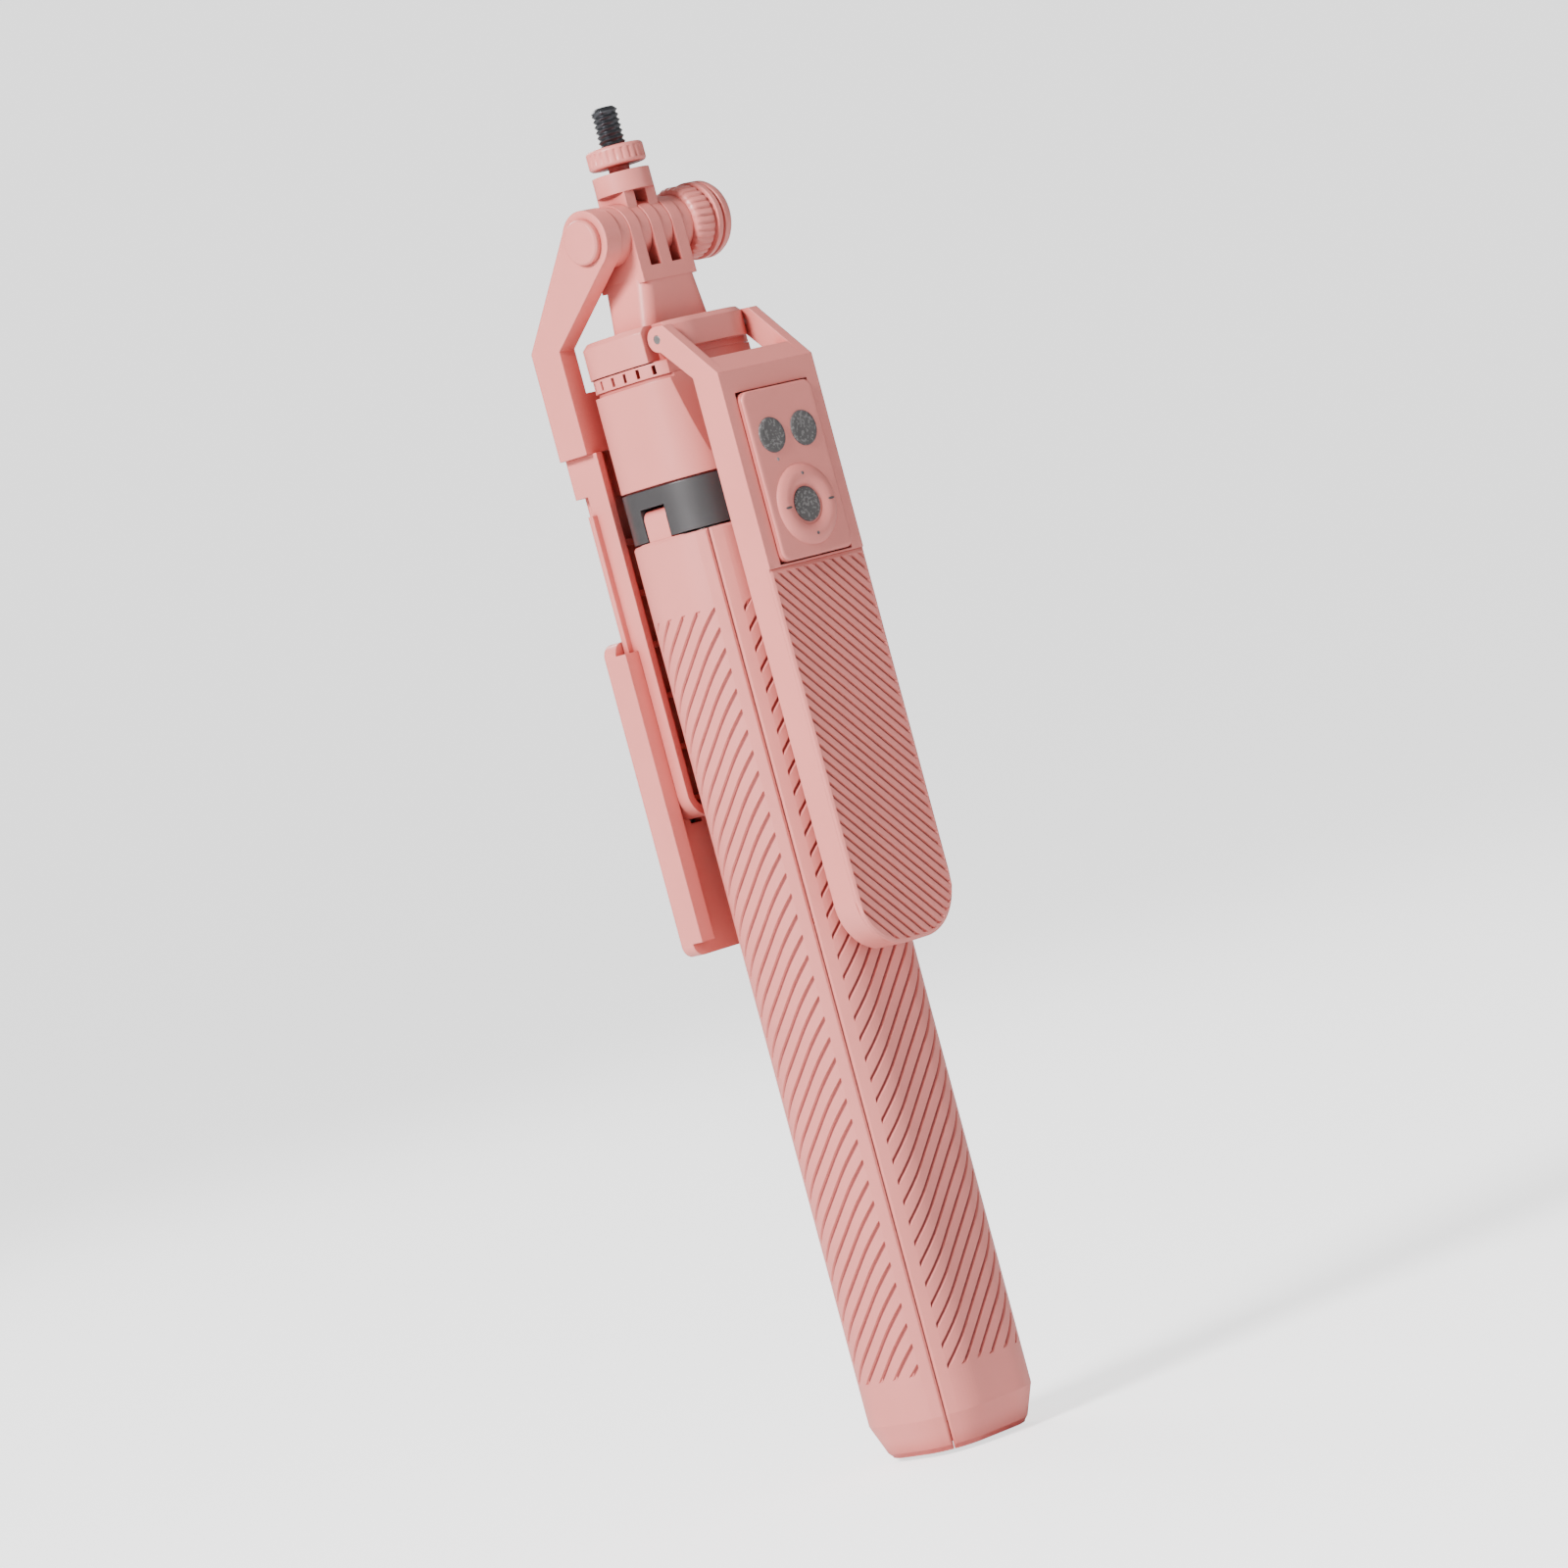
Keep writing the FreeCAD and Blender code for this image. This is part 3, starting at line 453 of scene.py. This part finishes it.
def add_leg_skins():
    half_x, half_y = COLUMN_W / 2 - COLUMN_R, COLUMN_D / 2 - COLUMN_R
    arc = math.pi / 2 * COLUMN_R
    quarter_y = half_y + arc / 2
    quarter_x = half_x + arc / 2
    middles = {"right": (0.0, quarter_y), "back": (half_y + arc + half_x, quarter_x),
               "left": (2 * half_y + 2 * arc + 2 * half_x, quarter_y),
               "front": (3 * half_y + 3 * arc + 3 * half_x, quarter_x)}
    for side, (middle, half_length) in middles.items():
        skin = leg_skin("leg_%s_ribs" % side, middle, half_length)
        # The second material paints shade into the rib grooves
        finish_piece(skin, "leg_%s_body" % side, "pink_shell", (PINK_RIB, PAINTED_GROOVE_SHADE))


# ------------------------------------------------------------------ handle grip

def add_grip():
    """Grooved skin of the handle, with a rounded lower end and a plain margin."""
    low, high = (c / MM for c in (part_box("grip_cover")[0][2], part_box("grip_cover")[1][2]))
    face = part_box("grip_cover")[0][1] / MM
    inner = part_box("grip_cover")[1][1] / MM
    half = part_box("grip_cover")[1][0] / MM
    steps, rim_lift = 40, 0.35
    # Rows past the ends of the grooves: the two rims, and the two edges of the plain margin
    low_rim, low_edge, high_edge, high_rim = -900, -800, 900, 1000
    stations = [-half, -half + 0.6] + [(-1 + 2 * k / steps) * (half - 1.2) for k in range(steps + 1)]
    stations += [half - 0.6, half]
    rows = groove_rows(low + 1.0, high - 1.0, GRIP_PITCH, GRIP_GROOVE, 1.0, half)
    front, back, cuts = [], [], []
    for z, depth in [(low_rim, 0.0), (low_edge, 0.0)] + rows + [(high_edge, 0.0), (high_rim, 0.0)]:
        front_row, back_row, cut_row = [], [], []
        for x in stations:
            over = max(0.0, abs(x) - (half - GRIP_CORNER))
            edge = low + GRIP_CORNER - math.sqrt(max(0.0, GRIP_CORNER * GRIP_CORNER - over * over))
            bottom, top = edge + GRIP_MARGIN, high - GRIP_MARGIN
            here = min(max(z - x, bottom), top)
            cut = depth if bottom < here < top and abs(x) < half - 1.0 else 0.0
            rim = z in (low_rim, high_rim)
            if rim:
                here = edge if z == low_rim else high
            lift = rim_lift if rim or abs(x) > half - 0.1 else GROOVE_DEPTH * cut
            front_row.append((x, face + lift, here))
            back_row.append((x, inner, here))
            cut_row.append(cut)
        front.append(front_row)
        back.append(back_row)
        cuts.append(cut_row)
    grip = slab("handle_grip", front, back, cuts)
    # The second material paints shade into the grip grooves
    finish_piece(grip, "arm_body", "pink_shell", (PINK_RIB, PAINTED_GROOVE_SHADE), "grip_cover")


# ------------------------------------------------------------------ turned pieces

def rounded_profile(radius, low, high, soft, steps=5):
    """Section of a disc with rounded rims, from the axis out and back."""
    points = [(0.0, low)]
    for step in range(steps + 1):
        angle = math.pi / 2 * step / steps
        points.append((radius - soft + soft * math.sin(angle), low + soft - soft * math.cos(angle)))
    for step in range(steps + 1):
        angle = math.pi / 2 * step / steps
        points.append((radius - soft + soft * math.cos(angle), high - soft + soft * math.sin(angle)))
    points.append((0.0, high))
    return points


def centre(node):
    """Middle of a node's box, in mm."""
    low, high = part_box(node)
    return [(a + b) / 2 / MM for a, b in zip(low, high)]


def add_knob():
    """Knob with a fluted skirt, two narrow rings and a dished end."""
    low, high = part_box("knob")
    x0, x1 = low[0] / MM, high[0] / MM
    radius = (high[2] - low[2]) / 2 / MM
    profile = [(2.2, x0), (radius - 2.2, x0), (radius - 1.0, x0 + 0.4), (radius - 0.4, x0 + 1.2)]
    profile += [(radius - 0.4, x0 + 5.4), (radius - 1.1, x0 + 5.7), (radius - 1.1, x0 + 6.3),
                (radius, x0 + 6.6), (radius, x0 + 7.9), (radius - 0.7, x0 + 8.1), (radius - 0.7, x0 + 8.6),
                (radius, x0 + 8.8), (radius, x1 - 1.4), (radius - 0.4, x1 - 0.6), (radius - 1.3, x1),
                (radius - 2.4, x1), (radius - 3.0, x1 - 0.35), (0.0, x1 - 0.35)]

    def flutes(angle, index, height):
        return -0.35 * max(0.0, math.cos(30 * angle)) if x0 + 1 < height < x0 + 5.5 else 0.0

    _, cy, cz = centre("knob")
    piece = lathe("knob_body_turned", profile, "X", 240, (0, cy * MM, cz * MM), flutes)
    finish_piece(piece, "knob_body", "pink_shell", PINK_PLAIN, "knob")


def add_pivot_cap():
    """Flat boss that covers the pivot screw's head."""
    low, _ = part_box("pivot_screw")
    _, cy, cz = centre("washer_left")
    x = low[0] / MM
    profile = [(0.0, x - 0.5), (4.0, x - 0.5), (4.9, x - 0.3),
               (5.3, x + 0.2), (5.3, x + 1.3), (0.0, x + 1.3)]
    cap = lathe("pivot_cap", profile, "X", 72, (0, cy * MM, cz * MM))
    finish_piece(cap, "stage_5", "pink_shell", PINK_PLAIN)


def add_camera_screw():
    """Fluted thumb nut and its threaded stud."""
    low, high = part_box("thumb_nut")
    z0, z1 = low[2] / MM, high[2] / MM
    radius = (high[0] - low[0]) / 2 / MM

    def flutes(angle, index, height):
        return -0.3 * max(0.0, math.cos(24 * angle)) if z0 + 0.9 < height < z1 - 0.9 else 0.0

    profile = rounded_profile(radius, z0, z1, 0.9)
    middle = len(profile) // 2
    profile[middle:middle] = [(radius, z0 + 1.1), (radius, z1 - 1.1)]
    nut = lathe("thumb_nut_turned", profile, "Z", 192, (0, 0, 0), flutes)
    finish_piece(nut, "camera_screw", "pink_shell", PINK_PLAIN, "thumb_nut")
    low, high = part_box("stud")
    base, top = z1 - 0.2, high[2] / MM
    r = (high[0] - low[0]) / 2 / MM
    rows = int((top - 0.8 - base) / (THREAD_PITCH / 4))

    def thread(angle, index, height):
        if index < 1 or index > rows:
            return 0.0
        phase = (height / THREAD_PITCH - angle / (2 * math.pi)) % 1.0
        return -THREAD_DEPTH * (1 - abs(2 * phase - 1))

    profile = [(r - 0.5, base)] + [(r, base + THREAD_PITCH / 4 * k) for k in range(1, rows + 1)]
    profile += [(r - 0.5, top - 0.4), (r - 0.9, top), (0.0, top)]
    stud = lathe("camera_stud", [(0.0, base)] + profile, "Z", 48, (0, 0, 0), thread)
    finish_piece(stud, "camera_screw", "stud_dark", FINISHES["stud_dark"], "stud")


def rounded_loop(half_w, half_h, radius, inset, steps=8):
    """Points of a rounded rectangle about its centre, pulled in by inset."""
    loop = []
    for quadrant in range(4):
        sx, sz = ((1, 1), (-1, 1), (-1, -1), (1, -1))[quadrant]
        for step in range(steps + 1):
            angle = math.pi / 2 * (quadrant + step / steps)
            loop.append((sx * (half_w - radius) + (radius - inset) * math.cos(angle),
                         sz * (half_h - radius) + (radius - inset) * math.sin(angle)))
    return loop


def add_remote_face():
    """Proud front panel of the remote with a soft rim, and its indicator light."""
    low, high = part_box("remote_front")
    cx, _, cz = centre("remote_front")
    half_w, half_h = (high[0] - low[0]) / 2 / MM, (high[2] - low[2]) / 2 / MM
    base = low[1] / MM
    rings = [(0.0, 0.1), (0.0, -0.15), (0.1, -0.35), (0.3, -0.5), (0.6, -FACE_RISE), (1.2, -FACE_RISE)]
    points, faces = [], []
    for inset, step_out in rings:
        points += [(cx + px, base + step_out, cz + pz)
                   for px, pz in rounded_loop(half_w, half_h, FACE_CORNER, inset)]
    count = len(points) // len(rings)
    for i in range(len(rings) - 1):
        for j in range(count):
            k = (j + 1) % count
            faces.append((i * count + j, i * count + k, (i + 1) * count + k, (i + 1) * count + j))
    faces.append(tuple(range(count)))
    faces.append(tuple(range((len(rings) - 1) * count, len(rings) * count)))
    face = clean(new_object("remote_face", points, faces, True))
    face.data.set_sharp_from_angle(angle=SHARP_ANGLE)
    finish_piece(face, "remote_body", "pink_shell", PINK_PLAIN)
    x, _, z = centre("led_pipe")
    front = base - FACE_RISE
    lamp = lathe("indicator_light", [(0.0, front - 0.06), (0.35, front - 0.04), (0.5, front + 0.05),
                                     (0.5, front + 0.3), (0.0, front + 0.3)], "Y", 24, (x * MM, 0, z * MM))
    finish_piece(lamp, "remote_body", "light_pipe", FINISHES["light_pipe"])


def add_button(node, body):
    """Round key with a soft rim and a slightly dished crown."""
    low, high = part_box(node)
    x, _, z = centre(node)
    front, rear = low[1] / MM - FACE_RISE, high[1] / MM
    profile = [(0.0, front + KEY_CROWN * 0.4), (KEY_RADIUS * 0.45, front + KEY_CROWN * 0.25),
               (KEY_RADIUS * 0.75, front), (KEY_RADIUS - 0.35, front + 0.04),
               (KEY_RADIUS - 0.1, front + 0.16), (KEY_RADIUS, front + 0.42),
               (KEY_RADIUS, rear), (0.0, rear)]
    piece = lathe(node + "_key", profile, "Y", 64, (x * MM, 0, z * MM))
    finish_piece(piece, body, "button_grey", FINISHES["button_grey"], node)


def add_ring_pad():
    """Crowned ring of the remote's pad, with four raised marks: two dashes and two dots."""
    low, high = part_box("ring_pad")
    x, _, z = centre("ring_pad")
    front, rear = low[1] / MM - FACE_RISE, high[1] / MM
    outer, inner, soft = 9.68, 4.42, 0.9
    profile = [(inner, rear), (inner, front + 0.5), (inner + 0.35, front + 0.12)]
    profile += [(inner + 1.0, front - 0.45), (inner + 2.4, front - 0.8), (outer - 1.9, front - 0.65),
                (outer - 1.1, front - 0.35), (outer - 0.5, front),
                (outer - 0.12, front + 0.5), (outer, front + soft), (outer, rear), (inner, rear)]
    piece = lathe("ring_pad_turned", profile, "Y", 96, (x * MM, 0, z * MM))
    finish_piece(piece, "ring_pad_body", "pink_shell", PINK_PLAIN, "ring_pad")
    radius = (inner + outer) / 2
    sides, mark_front, mark_back = 16, front - 0.84, front - 0.2
    for index in range(4):
        angle = math.pi / 2 * index
        mx, mz = x + radius * math.cos(angle), z + radius * math.sin(angle)
        length, width = (0.95, 0.28) if index % 2 == 0 else (0.4, 0.4)
        ring = []
        for step in range(sides):
            t = 2 * math.pi * step / sides
            ring.append((mx + length * math.cos(t), mz + width * math.sin(t)))
        points = [(px, mark_front, pz) for px, pz in ring] + [(px, mark_back, pz) for px, pz in ring]
        faces = [tuple(range(sides)), tuple(range(2 * sides - 1, sides - 1, -1))]
        faces += [(k, (k + 1) % sides, sides + (k + 1) % sides, sides + k) for k in range(sides)]
        mark = clean(new_object("pad_mark_%d" % index, points, faces))
        finish_piece(mark, "ring_pad_body", "button_grey", FINISHES["button_grey"])


add_camera()
add_world()
add_stage()
for lamp_values in LAMPS:
    add_area_light(*lamp_values)
finish_frame()
add_leg_skins()
add_grip()
add_knob()
add_pivot_cap()
add_camera_screw()
add_remote_face()
add_button("button_left", "button_left_body")
add_button("button_right", "button_right_body")
add_button("shutter_button", "shutter_body")
add_ring_pad()
